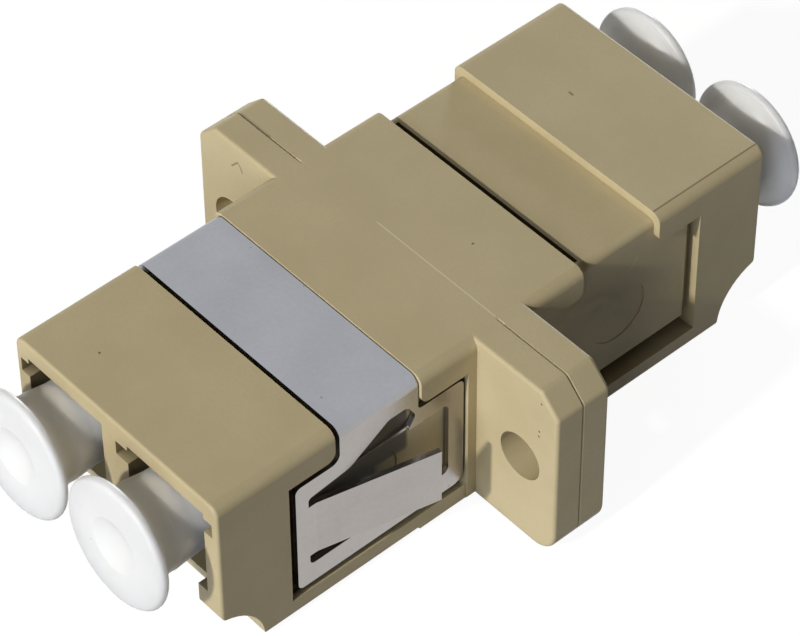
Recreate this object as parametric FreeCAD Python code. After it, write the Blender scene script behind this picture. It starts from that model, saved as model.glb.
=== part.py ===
# Duplex LC fibre adapter with a screw flange, a folded steel panel clip and four dust caps.
# Millimetres.  X is the width, Y the port axis (front ports at -Y), Z up.  The origin is at
# the middle of the underside, in the plane where the two moulded halves are welded.
import FreeCAD, Part
import os
import math

V = FreeCAD.Vector

# ---------------------------------------------------------------- housing, driving sizes
HALF_LEN = 14.94        # weld plane to the end face
BLOCK_W = 12.56         # width of the end blocks
BODY_H = 9.30           # underside to top
BLOCK_EDGE_R = 0.50     # rounding along the top long edges
BOTTOM_EDGE_R = 0.25    # rounding along the bottom long edges
MOUTH_EDGE_R = 0.15     # rounding round the end face
BAND_W = 12.80          # raised middle band
BAND_HALF_LEN = 4.43
BAND_EDGE_R = 0.50

FLANGE_W = 22.17
FLANGE_T = 2.87         # both halves together
FLANGE_CHAMFER = 1.00   # upper corners
FLANGE_CHAMFER_R = 0.35
FLANGE_LOW_R = 1.20     # lower corners
FLANGE_RIM_R = 0.18     # small rounding round each flange face
WELD_CHAMFER = 0.06     # fine V left at the weld line
HOLE_PITCH = 18.00
HOLE_D = 2.30
HOLE_Z = 4.60

TOP_STEP = 8.86         # the top recess runs from the band to this distance
TOP_DEPTH = 0.45
RECESS_EDGE_R = 0.35    # rounding under the strap's bends
GROOVE_W = 0.50         # slit in the recess floor beside the band
GROOVE_DEPTH = 0.42
GROOVE_HALF = 5.50

SIDE_DEPTH = 0.33       # side recess below the block face
SIDE_START = 1.90
SIDE_END = 11.30
SIDE_LOW = 0.92         # height of the bottom rail
SIDE_HIGH = 7.74
SIDE_CORNER_R = 0.45
RAIL_GROOVE_H = 0.85
RAIL_GROOVE_X = 5.30
END_SLOT_W = 0.42
END_SLOT_LOW = 1.50
END_SLOT_X = 5.68
END_HOLE_LOW = 6.90     # above this height the slot goes through to the port
PIN_MARK_R = 1.55       # ejector pin mark on the side floor
PIN_MARK_DEPTH = 0.04
PIN_MARK_Y = 6.94
PIN_MARK_Z = 4.68

# ---------------------------------------------------------------- ports
PORT_PITCH = 6.26
PORT_W = 4.68
PORT_AXIS_Z = 6.15
PORT_H = 4.70
PORT_FLOOR = 2.60       # distance of the port floor from the weld plane
LATCH_W = 3.50          # channel for the connector's latch, below the port
LATCH_LOW = 1.20
CATCH_START = 9.00      # wider pocket behind the latch catches
CATCH_END = 12.40
CATCH_LOW = 2.20
POCKET_IN = 0.74        # small pockets beside the upper port corners, at the mouth:
POCKET_OUT = 0.50       # into the divider and into the outer walls
POCKET_LOW = 7.45
POCKET_HIGH = 8.22
POCKET_LEN = 0.90
NOTCH_R = 2.65          # finger notch across the lower end edge
NOTCH_OUT = 0.50
NOTCH_TOP_R = 0.35      # roundings where the notch meets the end face and the underside
NOTCH_LOW_R = 0.30

# ---------------------------------------------------------------- sleeve and its holder
FERRULE_D = 1.25
SLEEVE_OD = 1.62
SLEEVE_LEN = 6.80
SLEEVE_SLOT = 0.40
SLEEVE_PLAY = 0.04      # radial clearance of the sleeve in its holder
SLEEVE_END_PLAY = 0.10
HOLDER_OD = 2.90
HOLDER_LIP = 0.90       # lip that keeps the sleeve in, with the ferrule's lead-in
LEAD_D = 1.40           # funnel through the lip: inner and outer diameter
LEAD_MOUTH_D = 2.20

# ---------------------------------------------------------------- panel clip
SHEET = 0.25
CLIP_PLAY = 0.05        # gap between the sheet and the side floors
STRAP_PLAY = 0.12       # and under the strap, which bows up a little
CLIP_BEND_R = 0.50      # outer bend radius
STRAP_REAR_GAP = 0.05   # strap edge to the band wall
STRAP_FRONT_GAP = 0.24  # strap edge to the step of the end block
WING_REAR_GAP = 0.12    # wing edges to the recess walls
WING_FRONT_GAP = 0.35
WING_LOW_GAP = 0.38
WING_HIGH_GAP = 0.34
WING_R = 0.30
WING_LOW_R = 0.60
WINDOW_REAR_STRIP = 0.82    # metal left round the window
WINDOW_FRONT_STRIP = 0.65
WINDOW_LOW_STRIP = 1.10
WINDOW_HIGH_STRIP = 0.90
TAB_LOW_SLIT = 0.55     # slits below and above the tab
TAB_HIGH_SLIT = 0.60
TAB_BEND = 0.40         # bend line to the front end of the window
TAB_LEN = 5.50          # along the port axis
TAB_SLOPE = 0.24        # outward per unit of length
LOBE_REAR = 3.03        # round-ended lobe above the window, from the wing's rear edge
LOBE_LEN = 1.00
LOBE_TOE_LEN = 3.05
LOBE_UP = 1.42
BARB_LEN = 2.85         # small barb left across the lobe

# ---------------------------------------------------------------- dust caps
CAP_REACH = 9.34        # how far the stub goes in past the end face
CAP_PLAY = 0.40         # stub to port wall at the mouth
CAP_TAPER = 0.12        # the stub is this much slimmer at its inner end
CAP_TIP_CHAMFER = 0.12
CAP_WALL = 0.32
CAP_CORE = 0.54         # solid part of the stub inside the mouth
CAP_NECK_OUT = 0.96     # the flare starts this far outside the end face
CAP_NECK_GROW = 0.10
CAP_RIM_BACK_OUT = 2.22
CAP_RIM_FRONT_OUT = 2.70
CAP_RIM_R = 2.98
CAP_DISH_R = 1.30       # shallow dish in the middle of the face
CAP_DISH_DEPTH = 0.35
CAP_DIP = 0.25          # the stub's inner end lies this far off the port axis
CAP_TILT = 3.4          # and the cap this much aslant, degrees

# ---------------------------------------------------------------- values worked out once
HX = BLOCK_W / 2.0
PX = PORT_PITCH / 2.0
FLOOR_X = HX - SIDE_DEPTH
FLOOR_Z = BODY_H - TOP_DEPTH
CLIP_IN_X = FLOOR_X + CLIP_PLAY
CLIP_OUT_X = CLIP_IN_X + SHEET
CLIP_IN_Z = FLOOR_Z + STRAP_PLAY
CLIP_OUT_Z = CLIP_IN_Z + SHEET
SLEEVE_CAVITY = SLEEVE_LEN / 2.0 + SLEEVE_END_PLAY
STRAP_Y0 = -TOP_STEP + STRAP_FRONT_GAP
STRAP_Y1 = -BAND_HALF_LEN - STRAP_REAR_GAP
WING_LOW = SIDE_LOW + WING_LOW_GAP
WING_HIGH = SIDE_HIGH - WING_HIGH_GAP
WING_REAR = SIDE_START + WING_REAR_GAP
WING_FRONT = SIDE_END - WING_FRONT_GAP
WINDOW_REAR = WING_REAR + WINDOW_REAR_STRIP
WINDOW_FRONT = WING_FRONT - WINDOW_FRONT_STRIP
WINDOW_LOW = WING_LOW + WINDOW_LOW_STRIP
WINDOW_HIGH = WING_HIGH - WINDOW_HIGH_STRIP
TAB_LOW = WINDOW_LOW + TAB_LOW_SLIT
TAB_HIGH = WINDOW_HIGH - TAB_HIGH_SLIT
TAB_ROOT = WINDOW_FRONT - TAB_BEND
HOLDER_END = SLEEVE_CAVITY + HOLDER_LIP
PORT_Z0 = PORT_AXIS_Z - PORT_H / 2.0
PORT_Z1 = PORT_AXIS_Z + PORT_H / 2.0
CAP_STUB_END = HALF_LEN - CAP_REACH
CAP_STUB_R = min(PORT_W, PORT_H) / 2.0 - CAP_PLAY
CAP_STUB_END_R = CAP_STUB_R - CAP_TAPER
CAP_BORE_END = HALF_LEN - CAP_CORE
CAP_NECK = HALF_LEN + CAP_NECK_OUT
CAP_NECK_R = CAP_STUB_R + CAP_NECK_GROW
CAP_RIM_BACK = HALF_LEN + CAP_RIM_BACK_OUT
CAP_RIM_FRONT = HALF_LEN + CAP_RIM_FRONT_OUT
OVER = 1.0              # how far cutters run past a face


def box(x0, x1, y0, y1, z0, z1):
    return Part.makeBox(x1 - x0, y1 - y0, z1 - z0, V(x0, y0, z0))


def ycyl(r, y0, y1, x, z):
    return Part.makeCylinder(r, y1 - y0, V(x, y0, z), V(0, 1, 0))


def to3d(plane, u, v, w):
    if plane == "xz":
        return V(u, w, v)
    if plane == "yz":
        return V(w, u, v)
    return V(u, v, w)


def rounded(points, plane, w0, w1):
    """Prism of a polygon whose corners are (u, v, radius), from w0 to w1 across its plane."""
    n = len(points)
    ends = []
    for i in range(n):
        u, v, r = points[i]
        pu, pv, _ = points[i - 1]
        nu, nv, _ = points[(i + 1) % n]
        a = FreeCAD.Vector(pu - u, pv - v, 0)
        b = FreeCAD.Vector(nu - u, nv - v, 0)
        a.normalize()
        b.normalize()
        if r <= 0:
            ends.append(((u, v), None, (u, v)))
            continue
        half = math.acos(max(-1.0, min(1.0, a.dot(b)))) / 2.0
        t = r / math.tan(half)
        m = a + b
        m.normalize()
        c = r / math.sin(half)
        mid = (u + m.x * (c - r), v + m.y * (c - r))
        ends.append(((u + a.x * t, v + a.y * t), mid, (u + b.x * t, v + b.y * t)))
    edges = []
    for i in range(n):
        s, mid, e = ends[i]
        if mid is not None:
            edges.append(Part.Arc(to3d(plane, *s, w0), to3d(plane, *mid, w0),
                                  to3d(plane, *e, w0)).toShape())
        nxt = ends[(i + 1) % n][0]
        p, q = to3d(plane, *e, w0), to3d(plane, *nxt, w0)
        if p.distanceToPoint(q) > 1e-6:
            edges.append(Part.LineSegment(p, q).toShape())
    face = Part.Face(Part.Wire(edges))
    return face.extrude(to3d(plane, 0, 0, w1 - w0))


def edges_on(shape, test):
    """Edges whose every vertex and middle point pass the test."""
    found = []
    for e in shape.Edges:
        pts = [v.Point for v in e.Vertexes]
        pts.append(e.valueAt((e.FirstParameter + e.LastParameter) / 2.0))
        if all(test(p) for p in pts):
            found.append(e)
    return found


def both_sides(shape):
    return [shape, shape.mirror(V(0, 0, 0), V(1, 0, 0))]


# ---------------------------------------------------------------- housing half (rear, +Y)
def side_view():
    """Slab with the side view of the block: its end notch has both corners rounded."""
    reach = HX + OVER
    slab = box(-reach, reach, 0, HALF_LEN, 0, BODY_H)
    slab = slab.cut(Part.makeCylinder(NOTCH_R, 2.0 * (reach + OVER),
                                      V(-reach - OVER, HALF_LEN + NOTCH_OUT, 0), V(1, 0, 0)))
    high = math.sqrt(NOTCH_R ** 2 - NOTCH_OUT ** 2)
    deep = HALF_LEN + NOTCH_OUT - NOTCH_R
    slab = slab.makeFillet(NOTCH_TOP_R, edges_on(
        slab, lambda p: abs(p.y - HALF_LEN) < 1e-4 and abs(p.z - high) < 1e-4))
    return slab.makeFillet(NOTCH_LOW_R, edges_on(
        slab, lambda p: abs(p.y - deep) < 1e-4 and abs(p.z) < 1e-4))


def end_block():
    outline = [(-HX, 0, BOTTOM_EDGE_R), (HX, 0, BOTTOM_EDGE_R),
               (HX, BODY_H, BLOCK_EDGE_R), (-HX, BODY_H, BLOCK_EDGE_R)]
    block = rounded(outline, "xz", 0, HALF_LEN)
    rim = edges_on(block, lambda p: abs(p.y - HALF_LEN) < 1e-5 and p.z > BOTTOM_EDGE_R / 2)
    return block.makeFillet(MOUTH_EDGE_R, rim).common(side_view())


def band():
    w = BAND_W / 2.0
    outline = [(-w, 0, BOTTOM_EDGE_R), (w, 0, BOTTOM_EDGE_R),
               (w, BODY_H, BAND_EDGE_R), (-w, BODY_H, BAND_EDGE_R)]
    return rounded(outline, "xz", 0, BAND_HALF_LEN)


def flange_half():
    w, c, r = FLANGE_W / 2.0, FLANGE_CHAMFER, FLANGE_CHAMFER_R
    outline = [(-w, 0, FLANGE_LOW_R), (w, 0, FLANGE_LOW_R),
               (w, BODY_H - c, r), (w - c, BODY_H, r),
               (c - w, BODY_H, r), (-w, BODY_H - c, r)]
    plate = rounded(outline, "xz", 0, FLANGE_T / 2.0)
    plate = plate.makeFillet(FLANGE_RIM_R, edges_on(
        plate, lambda p: abs(p.y - FLANGE_T / 2.0) < 1e-5))
    return plate.makeChamfer(WELD_CHAMFER, edges_on(plate, lambda p: abs(p.y) < 1e-5))


def outer_recesses():
    cutters = []
    top = BODY_H + OVER
    seat = rounded([(-FLOOR_X, 0, 0), (FLOOR_X, 0, 0), (FLOOR_X, FLOOR_Z, RECESS_EDGE_R),
                    (-FLOOR_X, FLOOR_Z, RECESS_EDGE_R)], "xz", 0, HALF_LEN)
    strip = box(-HX - OVER, HX + OVER, BAND_HALF_LEN, TOP_STEP, PORT_AXIS_Z, top)
    cutters.append(strip.cut(seat))
    cutters.append(box(-GROOVE_HALF, GROOVE_HALF, BAND_HALF_LEN, BAND_HALF_LEN + GROOVE_W,
                       FLOOR_Z - GROOVE_DEPTH, top))
    side = [(SIDE_START, SIDE_LOW, 0.2), (SIDE_END, SIDE_LOW, 0.2),
            (SIDE_END, SIDE_HIGH, 0.2), (TOP_STEP, SIDE_HIGH, SIDE_CORNER_R),
            (TOP_STEP, top, 0), (BAND_HALF_LEN, top, 0),
            (BAND_HALF_LEN, SIDE_HIGH, SIDE_CORNER_R), (SIDE_START, SIDE_HIGH, 0.2)]
    cutters += both_sides(rounded(side, "yz", FLOOR_X, HX + OVER))
    cutters += both_sides(box(RAIL_GROOVE_X, HX + OVER, SIDE_START + 0.3, SIDE_END,
                              SIDE_LOW, SIDE_LOW + RAIL_GROOVE_H))
    cutters += both_sides(box(END_SLOT_X, HX + OVER, SIDE_END - END_SLOT_W, SIDE_END,
                              END_SLOT_LOW, SIDE_HIGH))
    cutters += both_sides(box(PX, HX + OVER, SIDE_END - END_SLOT_W, SIDE_END,
                              END_HOLE_LOW, SIDE_HIGH))
    cutters += both_sides(Part.makeCylinder(
        PIN_MARK_R, HX, V(FLOOR_X - PIN_MARK_DEPTH, PIN_MARK_Y, PIN_MARK_Z), V(1, 0, 0)))
    cutters += both_sides(box(HX, HX + OVER, SIDE_START, HALF_LEN, -OVER, SIDE_HIGH))
    return cutters


def port_cavity(x):
    end = HALF_LEN + OVER
    hw, lw = PORT_W / 2.0, LATCH_W / 2.0
    cuts = [box(x - hw, x + hw, PORT_FLOOR, end, PORT_Z0, PORT_Z1),
            box(x - lw, x + lw, PORT_FLOOR, end, LATCH_LOW, PORT_AXIS_Z),
            box(x - hw, x + hw, CATCH_START, CATCH_END, CATCH_LOW, PORT_AXIS_Z),
            box(x - hw - (POCKET_IN if x > 0 else POCKET_OUT),
                x + hw + (POCKET_OUT if x > 0 else 0), HALF_LEN - POCKET_LEN, end,
                POCKET_LOW, POCKET_HIGH)]
    shape = cuts[0].fuse(cuts[1:])
    return shape.cut(ycyl(HOLDER_OD / 2.0, PORT_FLOOR - OVER, HOLDER_END, x, PORT_AXIS_Z))


def sleeve_bore(x):
    cavity = ycyl(SLEEVE_OD / 2.0 + SLEEVE_PLAY, -OVER, SLEEVE_CAVITY, x, PORT_AXIS_Z)
    funnel = Part.makeCone(LEAD_D / 2.0, LEAD_MOUTH_D / 2.0, HOLDER_LIP,
                           V(x, SLEEVE_CAVITY, PORT_AXIS_Z), V(0, 1, 0))
    return cavity.fuse(funnel)


def housing_half():
    body = end_block().fuse([band(), flange_half()]).removeSplitter()
    cutters = outer_recesses()
    for x in (-PX, PX):
        cutters.append(port_cavity(x))
        cutters.append(sleeve_bore(x))
    for x in (-HOLE_PITCH / 2.0, HOLE_PITCH / 2.0):
        cutters.append(ycyl(HOLE_D / 2.0, -OVER, FLANGE_T, x, HOLE_Z))
    for cutter in cutters:
        body = body.cut(cutter)
    return body.removeSplitter()


# ---------------------------------------------------------------- panel clip (front, -Y)
def clip_strap():
    ri = max(CLIP_BEND_R - SHEET, 0.05)
    low = CLIP_OUT_Z - CLIP_BEND_R - 0.2
    outer = rounded([(-CLIP_OUT_X, low, 0), (CLIP_OUT_X, low, 0),
                     (CLIP_OUT_X, CLIP_OUT_Z, CLIP_BEND_R),
                     (-CLIP_OUT_X, CLIP_OUT_Z, CLIP_BEND_R)], "xz", STRAP_Y0, STRAP_Y1)
    inner = rounded([(-CLIP_IN_X, low - OVER, 0), (CLIP_IN_X, low - OVER, 0),
                     (CLIP_IN_X, CLIP_IN_Z, ri), (-CLIP_IN_X, CLIP_IN_Z, ri)],
                    "xz", STRAP_Y0 - OVER, STRAP_Y1 + OVER)
    return outer.cut(inner)


def clip_wing():
    neck = CLIP_OUT_Z - CLIP_BEND_R
    plate = rounded([(-WING_FRONT, WING_LOW, WING_R), (-WING_REAR, WING_LOW, WING_LOW_R),
                     (-WING_REAR, WING_HIGH, WING_R), (STRAP_Y1, WING_HIGH, 0.2),
                     (STRAP_Y1, neck, 0), (STRAP_Y0, neck, 0),
                     (STRAP_Y0, WING_HIGH, SIDE_CORNER_R), (-WING_FRONT, WING_HIGH, WING_R)],
                    "yz", CLIP_IN_X, CLIP_OUT_X)
    x0, x1 = CLIP_IN_X - OVER, CLIP_OUT_X + OVER
    rear = -WING_REAR - LOBE_REAR
    top = WINDOW_HIGH + LOBE_UP
    window = rounded([(-WINDOW_FRONT, WINDOW_LOW, 0.25), (-WINDOW_REAR, WINDOW_LOW, 0.3),
                      (-WINDOW_REAR, WINDOW_HIGH, 0.3), (rear, WINDOW_HIGH, 0.08),
                      (rear + 0.45, top - 0.75, 0.3), (rear, top, 0.4),
                      (rear - LOBE_LEN, top, 0.5),
                      (rear - LOBE_TOE_LEN, WINDOW_HIGH + 0.15, 1.2),
                      (-WINDOW_FRONT, WINDOW_HIGH - 0.1, 0.2)], "yz", x0, x1)
    barb = rounded([(rear - 0.05, WINDOW_HIGH - 0.02, 0), (rear + 0.3, WINDOW_HIGH + 0.16, 0),
                    (rear - BARB_LEN, WINDOW_HIGH + 0.10, 0)], "yz",
                   CLIP_IN_X, CLIP_IN_X + SHEET / 2.0)
    return plate.cut(window).fuse(barb)


def clip_tab():
    tip = TAB_LEN - TAB_ROOT
    out = TAB_SLOPE * TAB_LEN
    n = math.hypot(1.0, TAB_SLOPE)
    tx, ty = SHEET / n, SHEET * TAB_SLOPE / n
    root = -WINDOW_FRONT - 0.2
    shift = SHEET * (n - 1.0) / TAB_SLOPE
    pts = [(CLIP_OUT_X, root, 0), (CLIP_OUT_X, -TAB_ROOT, 0),
           (CLIP_OUT_X + out, tip, 0),
           (CLIP_OUT_X + out - tx, tip + ty, 0),
           (CLIP_IN_X, -TAB_ROOT + shift, 0), (CLIP_IN_X, root, 0)]
    return rounded(pts, "xy", TAB_LOW, TAB_HIGH)


def panel_clip():
    parts = []
    for shape in both_sides(clip_wing()) + both_sides(clip_tab()):
        parts.append(shape)
    return clip_strap().fuse(parts).removeSplitter()


# ---------------------------------------------------------------- sleeve
def split_sleeve(x):
    half = SLEEVE_LEN / 2.0
    tube = ycyl(SLEEVE_OD / 2.0, -half, half, x, PORT_AXIS_Z)
    tube = tube.cut(ycyl(FERRULE_D / 2.0, -half - OVER, half + OVER, x, PORT_AXIS_Z))
    return tube.cut(box(x - SLEEVE_SLOT / 2.0, x + SLEEVE_SLOT / 2.0, -half - OVER,
                        half + OVER, PORT_AXIS_Z, PORT_AXIS_Z + SLEEVE_OD))


# ---------------------------------------------------------------- dust cap (rear, +Y)
def cap_profile():
    """Half section of a cap in the XY plane, turned about the Y axis."""
    edge = (CAP_RIM_FRONT - CAP_RIM_BACK) / 2.0
    mid_y = (CAP_RIM_FRONT + CAP_RIM_BACK) / 2.0
    bore = CAP_STUB_END_R - CAP_WALL

    def p(r, y):
        return V(r, y, 0)

    def line(a, b):
        return Part.LineSegment(a, b).toShape()

    def arc(a, b, c):
        return Part.Arc(a, b, c).toShape()

    neck = p(CAP_NECK_R, CAP_NECK)
    back = p(CAP_RIM_R - edge, CAP_RIM_BACK)
    sag = p(CAP_NECK_R + (CAP_RIM_R - edge - CAP_NECK_R) * 0.24,
            CAP_NECK + (CAP_RIM_BACK - CAP_NECK) * 0.66)
    front = p(CAP_RIM_R - edge, CAP_RIM_FRONT)
    middle = p(0, CAP_RIM_FRONT)
    tip = p(0, CAP_BORE_END + bore * 0.5)
    end = p(CAP_STUB_END_R - CAP_TIP_CHAMFER, CAP_STUB_END)
    shoulder = p(CAP_STUB_END_R, CAP_STUB_END + 2.5 * CAP_TIP_CHAMFER)
    edges = [line(p(bore, CAP_STUB_END), end),
             line(end, shoulder),
             line(shoulder, p(CAP_STUB_R, HALF_LEN)),
             line(p(CAP_STUB_R, HALF_LEN), neck),
             arc(neck, sag, back),
             arc(back, p(CAP_RIM_R, mid_y), front),
             line(front, middle),
             line(middle, tip),
             line(tip, p(bore, CAP_BORE_END)),
             line(p(bore, CAP_BORE_END), p(bore, CAP_STUB_END))]
    return Part.Face(Part.Wire(edges))


def dust_cap(x, side):
    """side is +1 for a rear cap and -1 for a front one."""
    cap = cap_profile().revolve(V(0, 0, 0), V(0, 1, 0), 360)
    r = (CAP_DISH_R ** 2 + CAP_DISH_DEPTH ** 2) / (2.0 * CAP_DISH_DEPTH)
    centre = V(0, CAP_RIM_FRONT + r - CAP_DISH_DEPTH, 0)
    cap = cap.cut(Part.makeSphere(r, centre))
    cap.rotate(V(0, CAP_STUB_END, 0), V(1, 0, 0), -CAP_TILT)
    cap.translate(V(0, 0, CAP_DIP))
    if side < 0:
        cap.rotate(V(0, 0, 0), V(1, 0, 0), 180)
    cap.translate(V(x, 0, PORT_AXIS_Z))
    return cap


# ---------------------------------------------------------------- files
def main():
    os.makedirs("parts", exist_ok=True)
    rear = housing_half()
    nodes = {"rear_housing": rear,
             "front_housing": rear.mirror(V(0, 0, 0), V(0, 1, 0)),
             "panel_clip": panel_clip()}
    for side, x in (("left", -PX), ("right", PX)):
        nodes["split_sleeve_" + side] = split_sleeve(x)
        nodes["dust_cap_front_" + side] = dust_cap(x, -1)
        nodes["dust_cap_rear_" + side] = dust_cap(x, 1)
    for name in sorted(nodes):
        shape = nodes[name]
        solids = shape.Solids
        if len(solids) != 1 or not shape.isValid():
            raise ValueError("%s: %d solids, valid %s" % (name, len(solids), shape.isValid()))
        solid = solids[0]
        solid.exportStep(os.path.join("parts", name + ".step"))
        bb = solid.BoundBox
        print("%-24s vol %8.2f  x %.2f %.2f  y %.2f %.2f  z %.2f %.2f" % (
            name, solid.Volume, bb.XMin, bb.XMax, bb.YMin, bb.YMax, bb.ZMin, bb.ZMax))


main()
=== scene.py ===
from math import cos, pi, radians, sin

import bpy
from mathutils import Matrix, Vector

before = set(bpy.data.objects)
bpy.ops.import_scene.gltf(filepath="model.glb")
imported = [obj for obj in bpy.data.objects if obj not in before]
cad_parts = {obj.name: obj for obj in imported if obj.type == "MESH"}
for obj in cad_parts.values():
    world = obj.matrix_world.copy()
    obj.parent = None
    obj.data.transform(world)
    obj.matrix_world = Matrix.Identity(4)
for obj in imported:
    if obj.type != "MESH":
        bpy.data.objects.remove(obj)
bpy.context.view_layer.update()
scene = bpy.context.scene
MM = 0.001


# ---------------------------------------------------------------- camera
CAMERA_AZIMUTH, CAMERA_ELEVATION, CAMERA_ROLL = 48.758, 46.722, -0.551    # degrees
CAMERA_TARGET = (-0.07, -0.205, 4.6)                                      # mm
CAMERA_DISTANCE = 164.38                                                  # mm
SENSOR_WIDTH, LENS = 36.0, 177.27                                         # mm
SHIFT_X, SHIFT_Y = 0.0081, 0.0019                                         # shares of the frame's width
CLIP_START, CLIP_END = 0.01, 10.0                                         # m


def make_camera():
    """Long lens looking down on the front right corner."""
    az, el = radians(CAMERA_AZIMUTH), radians(CAMERA_ELEVATION)
    back = Vector((cos(el) * sin(az), -cos(el) * cos(az), sin(el)))
    right = Vector((0, 0, 1)).cross(back).normalized()
    up = back.cross(right)
    roll = radians(CAMERA_ROLL)
    x = right * cos(roll) + up * sin(roll)
    y = up * cos(roll) - right * sin(roll)
    data = bpy.data.cameras.new("camera")
    data.sensor_width = SENSOR_WIDTH
    data.lens = LENS
    data.shift_x = SHIFT_X
    data.shift_y = SHIFT_Y
    data.clip_start = CLIP_START
    data.clip_end = CLIP_END
    cam = bpy.data.objects.new("camera", data)
    eye = Vector(CAMERA_TARGET) * MM + back * CAMERA_DISTANCE * MM
    cam.matrix_world = Matrix.Translation(eye) @ Matrix((x, y, back)).transposed().to_4x4()
    scene.collection.objects.link(cam)
    scene.camera = cam


# ---------------------------------------------------------------- material helpers
AO_SAMPLES = 8
LINE_CORE = 0.4        # share of a drawn line's half width that has its full strength


class Nodes:
    """Small wrapper that adds nodes to one material and links them.

    self.mm is the place on the part in millimetres, in the part's own frame."""

    def __init__(self, name):
        self.mat = bpy.data.materials.new(name)
        self.mat.use_nodes = True
        self.tree = self.mat.node_tree
        self.shader = self.tree.nodes["Principled BSDF"]
        coord = self.add("ShaderNodeTexCoord")
        scale = self.add("ShaderNodeVectorMath", operation="SCALE")
        scale.inputs["Scale"].default_value = 1 / MM
        self.link(coord.outputs["Object"], scale.inputs[0])
        self.mm = scale.outputs[0]

    def add(self, kind, **props):
        node = self.tree.nodes.new(kind)
        for key, value in props.items():
            setattr(node, key, value)
        return node

    def link(self, a, b):
        self.tree.links.new(a, b)

    def noise(self, scale, detail=3.0, rough=0.5):
        """Noise value, scale in features per millimetre."""
        n = self.add("ShaderNodeTexNoise")
        n.inputs["Scale"].default_value = scale
        n.inputs["Detail"].default_value = detail
        n.inputs["Roughness"].default_value = rough
        self.link(self.mm, n.inputs["Vector"])
        return n.outputs["Fac"]

    def ramp(self, value, a, b, lo=0.0, hi=1.0):
        """lo up to a, hi from b on, straight between them."""
        r = self.add("ShaderNodeMapRange")
        r.inputs["From Min"].default_value = a
        r.inputs["From Max"].default_value = b
        r.inputs["To Min"].default_value = lo
        r.inputs["To Max"].default_value = hi
        self.link(value, r.inputs["Value"])
        return r.outputs["Result"]

    def inside(self, value, start, full, end, gone):
        """1 from full to end, fading to 0 at start and at gone."""
        return self.math("MULTIPLY", self.ramp(value, start, full), self.ramp(value, end, gone, 1.0, 0.0))

    def math(self, op, a, b=None):
        m = self.add("ShaderNodeMath", operation=op)
        for i, v in enumerate((a, b)):
            if v is None:
                continue
            if isinstance(v, (int, float)):
                m.inputs[i].default_value = v
            else:
                self.link(v, m.inputs[i])
        return m.outputs[0]

    def mix(self, fac, a, b):
        m = self.add("ShaderNodeMix", data_type="RGBA")
        for socket, v in ((m.inputs["Factor"], fac), (m.inputs[6], a), (m.inputs[7], b)):
            if isinstance(v, (tuple, list)):
                socket.default_value = (*v, 1.0)
            elif isinstance(v, (int, float)):
                socket.default_value = v
            else:
                self.link(v, socket)
        return m.outputs[2]

    def tint(self, base, mask, strength, colour):
        """base, with colour laid over it by mask times strength."""
        return self.mix(self.math("MULTIPLY", mask, strength), base, colour)

    def bump(self, height, distance, strength, normal=None):
        """Normal bent by height; distance is in metres."""
        b = self.add("ShaderNodeBump")
        b.inputs["Distance"].default_value = distance
        b.inputs["Strength"].default_value = strength
        self.link(height, b.inputs["Height"])
        if normal is not None:
            self.link(normal, b.inputs["Normal"])
        return b.outputs["Normal"]

    def set(self, **values):
        """Links or sets sockets of the shader, by name with _ for each space."""
        for key, v in values.items():
            socket = self.shader.inputs[key.replace("_", " ")]
            if hasattr(v, "links"):
                self.link(v, socket)
            elif isinstance(v, (tuple, list)) and socket.type == "RGBA":
                socket.default_value = (*v, 1.0)
            else:
                socket.default_value = v

    def axes(self):
        """X, Y and Z of the place in millimetres."""
        sep = self.add("ShaderNodeSeparateXYZ")
        self.link(self.mm, sep.inputs[0])
        return sep.outputs

    def near_segment(self, points, width):
        """1 close to the broken line through points, fading to 0 at width from it (mm)."""
        best = None
        for a, b in zip(points, points[1:]):
            a, b = Vector(a), Vector(b)
            rel = self.vec("SUBTRACT", self.mm, a)
            along = self.vec("DOT_PRODUCT", rel, (b - a) / (b - a).length_squared)
            t = self.add("ShaderNodeClamp")
            self.link(along, t.inputs["Value"])
            spot = self.add("ShaderNodeVectorMath", operation="SCALE")
            spot.inputs[0].default_value = b - a
            self.link(t.outputs[0], spot.inputs["Scale"])
            gap = self.vec("DISTANCE", rel, spot.outputs[0])
            best = gap if best is None else self.math("MINIMUM", best, gap)
        return self.ramp(best, width * LINE_CORE, width, 1.0, 0.0)

    def vec(self, op, a, b):
        m = self.add("ShaderNodeVectorMath", operation=op)
        for i, v in enumerate((a, b)):
            if hasattr(v, "links"):
                self.link(v, m.inputs[i])
            else:
                m.inputs[i].default_value = v
        return m.outputs["Value"] if op in ("DOT_PRODUCT", "DISTANCE") else m.outputs[0]

    def crevice(self, reach, lo, hi):
        """1 deep in gaps that are narrow beside reach (mm), 0 on open faces."""
        ao = self.add("ShaderNodeAmbientOcclusion", samples=AO_SAMPLES)
        ao.inputs["Distance"].default_value = reach * MM
        return self.ramp(ao.outputs["AO"], lo, hi, 1.0, 0.0)

    def specks(self, scale, size, share):
        """1 inside small scattered dots, 0 elsewhere.

        There are scale cells to a millimetre, and share of the cells have a dot."""
        v = self.add("ShaderNodeTexVoronoi")
        v.inputs["Scale"].default_value = scale
        self.link(self.mm, v.inputs["Vector"])
        near = self.math("LESS_THAN", v.outputs["Distance"], size)
        sep = self.add("ShaderNodeSeparateColor")
        self.link(v.outputs["Color"], sep.inputs[0])
        few = self.math("LESS_THAN", sep.outputs[0], share)
        return self.math("MULTIPLY", near, few)


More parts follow.
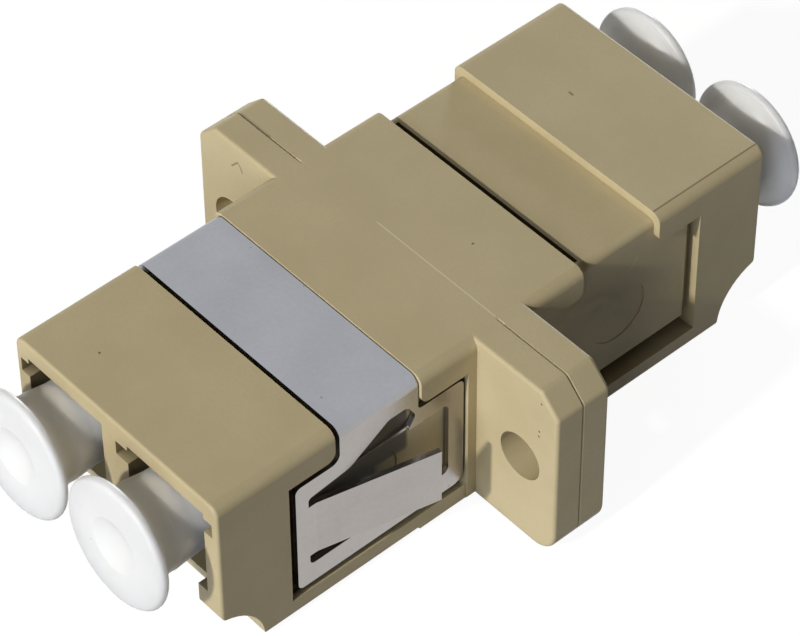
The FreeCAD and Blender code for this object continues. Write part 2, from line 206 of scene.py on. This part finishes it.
# ---------------------------------------------------------------- materials
# marks on the housing, as lines in mm
SCRATCH = [(-8.907, -1.435, 7.961), (-8.509, -1.435, 8.416), (-8.323, -1.435, 8.240),
           (-8.225, -1.435, 8.006)]
PARTING_LINE = [(5.85, 8.90, 9.30), (5.85, 14.90, 9.30)]
SPECK = [(-1.63, 11.21, 9.30), (-1.44, 11.20, 9.30)]
WELD_DIRT = [(-9.95, 0.0, 9.26), (-8.10, 0.0, 9.26)]
BAND_WELD = [(-1.30, 0.03, 9.30), (5.85, 0.03, 9.30)]
SIDE_SCUFF = [(5.95, 7.93, 7.32), (5.95, 7.68, 6.83)]
DARK_LINES = ((SCRATCH, 0.055), (PARTING_LINE, 0.050), (SPECK, 0.075), (WELD_DIRT, 0.10))
BAND_WELD_WIDTH = 0.040
SIDE_SCUFF_WIDTH = 0.10

# places on the housing and the clip in mm: four values are start, full, end and gone, and two
# are the ends of a fade
# SIDE_FLOOR_X to SLIT_END_X bound the shadow painted behind the clip's wings and the shade painted in the
# slits
SIDE_FLOOR_X = (5.80, 5.84, 5.97, 5.99)
WING_Y = (-11.45, -11.35, -4.92, -4.74)
WING_Z = (0.84, 0.92, 8.60, 8.80)
SLIT_Y = (4.41, 4.43, 4.935, 4.95)
SLIT_Z = (8.40, 8.42, 8.80, 8.86)
SLIT_END_X = (5.50, 5.52)
WINDOW_FOOT_Z = (5.05, 5.27)        # behind the tab a shadow is painted on the floor above this
TAB_END_Y = (-6.60, -6.30)          # and at any height ahead of this
BAND_SIDE_X = (6.38, 6.44)
WELD_Y = (0.05, 0.09)
WELD_CLEAR_Y = (0.10, 0.20)
# heights over which the painted sky reflection on the strap's upper face fades in
STRAP_PAINTED_REFLECTION_Z = (8.75, 9.05)

# colours of the marks on the housing; the last three are painted shade: behind the clip and in the slits,
# on the weld seam, and in crevices
LINE_DARK = (0.130, 0.095, 0.050)
WELD_LIGHT = (0.85, 0.76, 0.54)
SCUFF_LIGHT = (0.75, 0.70, 0.55)
PAINTED_SHADE_DARK = (0.030, 0.024, 0.014)
WELD_PAINTED_SHADE = (0.230, 0.190, 0.110)
CREVICE_PAINTED_SHADE = (0.050, 0.038, 0.020)


def painted_shadow_behind_clip(n):
    """1 where a shadow is painted on the side floors behind the clip's wings."""
    x, y, z = n.axes()
    floor = n.inside(n.math("ABSOLUTE", x), *SIDE_FLOOR_X)
    wing = n.math("MULTIPLY", n.inside(y, *WING_Y), n.inside(z, *WING_Z))
    upper = n.math("MAXIMUM", n.ramp(z, *WINDOW_FOOT_Z), n.ramp(y, *TAB_END_Y, 1.0, 0.0))
    return n.math("MULTIPLY", floor, n.math("MULTIPLY", wing, upper))


def painted_shade_in_slit(n):
    """1 on the walls and the floor of the narrow slits beside the band, where shade is painted."""
    x, y, z = n.axes()
    width = n.inside(n.math("ABSOLUTE", y), *SLIT_Y)
    deep = n.inside(z, *SLIT_Z)
    inner = n.ramp(n.math("ABSOLUTE", x), *SLIT_END_X, 1.0, 0.0)
    return n.math("MULTIPLY", n.math("MULTIPLY", width, deep), inner)


def moulded_plastic(name):
    """Beige PBT: cloudy colour, fine grain, dust specks and the marks of moulding and welding, with shade
    painted into the slits, crevices and weld seam and a shadow painted behind the clip's wings.
    """
    n = Nodes(name)
    cloud = n.ramp(n.noise(0.30, 4.0, 0.55), 0.35, 0.65)
    grain = n.noise(7.0, 3.0, 0.6)
    base = n.mix(cloud, (0.545, 0.455, 0.266), (0.590, 0.495, 0.295))
    base = n.mix(n.ramp(grain, 0.35, 0.65, 0.0, 0.30), base, (0.505, 0.420, 0.245))
    base = n.mix(n.specks(0.9, 0.05, 0.22), base, (0.170, 0.125, 0.070))
    for mark, width in DARK_LINES:
        base = n.tint(base, n.near_segment(mark, width), 0.72, LINE_DARK)
    base = n.tint(base, n.near_segment(BAND_WELD, BAND_WELD_WIDTH), 0.60, WELD_LIGHT)
    base = n.tint(base, n.near_segment(SIDE_SCUFF, SIDE_SCUFF_WIDTH), 0.28, SCUFF_LIGHT)
    # painted shadow on the floor behind the clip's wings and painted shade in the slits
    base = n.tint(base, n.math("MAXIMUM", painted_shadow_behind_clip(n), painted_shade_in_slit(n)), 0.90, PAINTED_SHADE_DARK)
    across, along, _ = n.axes()
    off_weld = n.math("ABSOLUTE", along)
    beside_band = n.ramp(n.math("ABSOLUTE", across), *BAND_SIDE_X)
    # painted shade along the weld seam between the halves, beside the band, that dims the seam's lit face
    weld_seam_shade = n.math("MULTIPLY", n.ramp(off_weld, *WELD_Y, 1.0, 0.0), beside_band)
    base = n.tint(base, weld_seam_shade, 0.45, WELD_PAINTED_SHADE)
    # painted shade deep in crevices and gaps, fainter near the weld seam
    crevice_shade = n.math("MULTIPLY", n.crevice(1.6, 0.10, 0.58), n.ramp(off_weld, *WELD_CLEAR_Y, 0.15, 0.88))
    base = n.mix(crevice_shade, base, CREVICE_PAINTED_SHADE)
    rough = n.ramp(n.noise(2.2, 4.0, 0.6), 0.3, 0.7, 0.42, 0.54)
    fine = n.bump(grain, 0.010 * MM, 0.30)
    normal = n.bump(n.noise(0.9, 3.0, 0.5), 0.04 * MM, 0.15, fine)
    n.set(Base_Color=base, Roughness=rough, Normal=normal, Specular_IOR_Level=0.20)
    return n.mat


def stamped_steel(name):
    """Bright rolled sheet, cooler on the strap's upper face than on the wings, where a reflection of a
    cool sky is painted.
    """
    n = Nodes(name)
    cloud = n.math("ADD", n.noise(0.35, 2.0, 0.5), n.math("MULTIPLY", n.noise(5.0, 4.0, 0.7), 0.6))
    fine = n.noise(9.0, 3.0, 0.6)
    # painted reflection: the strap's upper face is given a cooler colour, as if it mirrored the sky
    painted_sky_reflection = n.ramp(n.axes()[2], *STRAP_PAINTED_REFLECTION_Z)
    dark = n.mix(painted_sky_reflection, (0.350, 0.328, 0.310), (0.325, 0.330, 0.350))
    light = n.mix(painted_sky_reflection, (0.395, 0.372, 0.352), (0.365, 0.373, 0.400))
    base = n.mix(n.ramp(cloud, 0.55, 1.05), dark, light)
    base = n.mix(n.specks(1.6, 0.06, 0.20), base, (0.16, 0.15, 0.15))
    # painted shade in the steel's crevices and gaps
    base = n.tint(base, n.crevice(0.5, 0.05, 0.40), 0.80, (0.05, 0.04, 0.03))
    rough = n.ramp(fine, 0.3, 0.7, 0.17, 0.25)
    normal = n.bump(fine, 0.0012 * MM, 0.25)
    normal = n.bump(n.noise(0.9, 2.0, 0.5), 0.03 * MM, 0.12, normal)
    n.set(Base_Color=base, Metallic=1.0, Roughness=rough, Normal=normal)
    return n.mat


def cap_polyethylene(name):
    """Soft white polyethylene that lets some light through."""
    n = Nodes(name)
    cloud = n.ramp(n.noise(0.5, 3.0, 0.5), 0.35, 0.65)
    base = n.mix(cloud, (0.870, 0.862, 0.845), (0.900, 0.895, 0.882))
    base = n.mix(n.specks(1.2, 0.040, 0.08), base, (0.55, 0.51, 0.44))
    rough = n.ramp(n.noise(3.0, 4.0, 0.6), 0.3, 0.7, 0.34, 0.46)
    normal = n.bump(n.noise(5.0, 3.0, 0.6), 0.008 * MM, 0.25)
    n.set(Base_Color=base, Roughness=rough, Normal=normal,
          Subsurface_Weight=0.8, Subsurface_Radius=(1.0, 0.96, 0.90), Subsurface_Scale=1.3 * MM,
          Specular_IOR_Level=0.30)
    return n.mat


def zirconia(name):
    """Polished off-white ceramic of the split sleeves."""
    n = Nodes(name)
    cloud = n.ramp(n.noise(1.2, 3.0, 0.5), 0.35, 0.65)
    base = n.mix(cloud, (0.80, 0.78, 0.72), (0.86, 0.85, 0.80))
    rough = n.ramp(n.noise(8.0, 2.0, 0.5), 0.3, 0.7, 0.12, 0.22)
    n.set(Base_Color=base, Roughness=rough, Normal=n.bump(n.noise(12.0), 0.002 * MM, 0.2))
    return n.mat


def dress(node, mat):
    """Gives every slot of a CAD piece the material."""
    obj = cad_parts[node]
    if not obj.material_slots:
        obj.data.materials.append(mat)
    for s in obj.material_slots:
        s.material = mat


# ---------------------------------------------------------------- stage and light
FLOOR_SIZE = 6.0          # m
FLOOR_DROP = 0.0002       # m below the part's lowest point
FLOOR_GREY = 0.12         # what the floor gives back to the part
FLOOR_GLOW = 0.94         # what is added where it is seen, reflected or looked through
AMBIENT = 0.04            # the world's light on the part
AIM_Z = 0.005             # m, the height that the lamps are aimed at


def seen_rays(tree):
    """1 for rays that show the background: camera, glossy and transmission rays."""
    path = tree.nodes.new("ShaderNodeLightPath")
    seen = path.outputs["Is Camera Ray"]
    for ray in ("Is Glossy Ray", "Is Transmission Ray"):
        either = tree.nodes.new("ShaderNodeMath")
        either.operation = "MAXIMUM"
        tree.links.new(seen, either.inputs[0])
        tree.links.new(path.outputs[ray], either.inputs[1])
        seen = either.outputs[0]
    return seen


def make_stage():
    """A pale floor that keeps the part's shadow."""
    bpy.ops.mesh.primitive_plane_add(size=FLOOR_SIZE, location=(0, 0, -FLOOR_DROP))
    floor = bpy.context.object
    floor.name = "floor"
    mat = bpy.data.materials.new("floor_paper")
    mat.use_nodes = True
    tree = mat.node_tree
    tree.nodes.clear()
    out = tree.nodes.new("ShaderNodeOutputMaterial")
    diffuse = tree.nodes.new("ShaderNodeBsdfDiffuse")
    diffuse.inputs["Color"].default_value = (FLOOR_GREY, FLOOR_GREY, FLOOR_GREY, 1)
    glow = tree.nodes.new("ShaderNodeEmission")
    level = tree.nodes.new("ShaderNodeMath")
    level.operation = "MULTIPLY"
    level.inputs[1].default_value = FLOOR_GLOW
    both = tree.nodes.new("ShaderNodeAddShader")
    tree.links.new(seen_rays(tree), level.inputs[0])
    tree.links.new(level.outputs[0], glow.inputs["Strength"])
    tree.links.new(diffuse.outputs[0], both.inputs[0])
    tree.links.new(glow.outputs[0], both.inputs[1])
    tree.links.new(both.outputs[0], out.inputs["Surface"])
    floor.data.materials.append(mat)


def make_world():
    """White where it is seen, and only a faint light on the part."""
    world = bpy.data.worlds.new("studio")
    scene.world = world
    world.use_nodes = True
    tree = world.node_tree
    back = tree.nodes["Background"]
    back.inputs["Color"].default_value = (1, 1, 1, 1)
    level = tree.nodes.new("ShaderNodeMapRange")
    level.inputs["To Min"].default_value = AMBIENT
    level.inputs["To Max"].default_value = 1.0
    tree.links.new(seen_rays(tree), level.inputs["Value"])
    tree.links.new(level.outputs["Result"], back.inputs["Strength"])


def area_lamp(name, direction, distance, size, level, colour):
    """A square lamp aimed at the part; a white matt face turned to it renders at about level."""
    data = bpy.data.lights.new(name, "AREA")
    data.shape = "SQUARE"
    data.size = size
    data.color = colour
    data.energy = level * pi ** 2 * distance ** 2
    obj = bpy.data.objects.new(name, data)
    away = Vector(direction).normalized()
    obj.location = away * distance + Vector((0, 0, AIM_Z))
    obj.rotation_euler = away.to_track_quat("Z", "Y").to_euler()
    scene.collection.objects.link(obj)


def make_lamps():
    area_lamp("key", direction=(0.09, -1.00, 0.68), distance=0.8, size=0.04, level=0.73,
              colour=(1.0, 0.98, 0.93))
    area_lamp("fill", direction=(0.38, -0.90, 0.18), distance=1.0, size=0.60, level=0.49,
              colour=(0.93, 0.99, 1.13))
    area_lamp("back", direction=(-0.60, 0.80, 0.10), distance=1.0, size=0.16, level=0.60,
              colour=(0.96, 0.99, 1.04))


def main():
    make_camera()
    plastic = moulded_plastic("moulded_plastic")
    dress("front_housing", plastic)
    dress("rear_housing", plastic)
    dress("panel_clip", stamped_steel("stamped_steel"))
    ceramic = zirconia("zirconia")
    cap = cap_polyethylene("cap_polyethylene")
    for side in ("left", "right"):
        dress("split_sleeve_" + side, ceramic)
        dress("dust_cap_front_" + side, cap)
        dress("dust_cap_rear_" + side, cap)
    make_stage()
    make_world()
    make_lamps()
    scene.view_settings.view_transform = "Standard"


main()
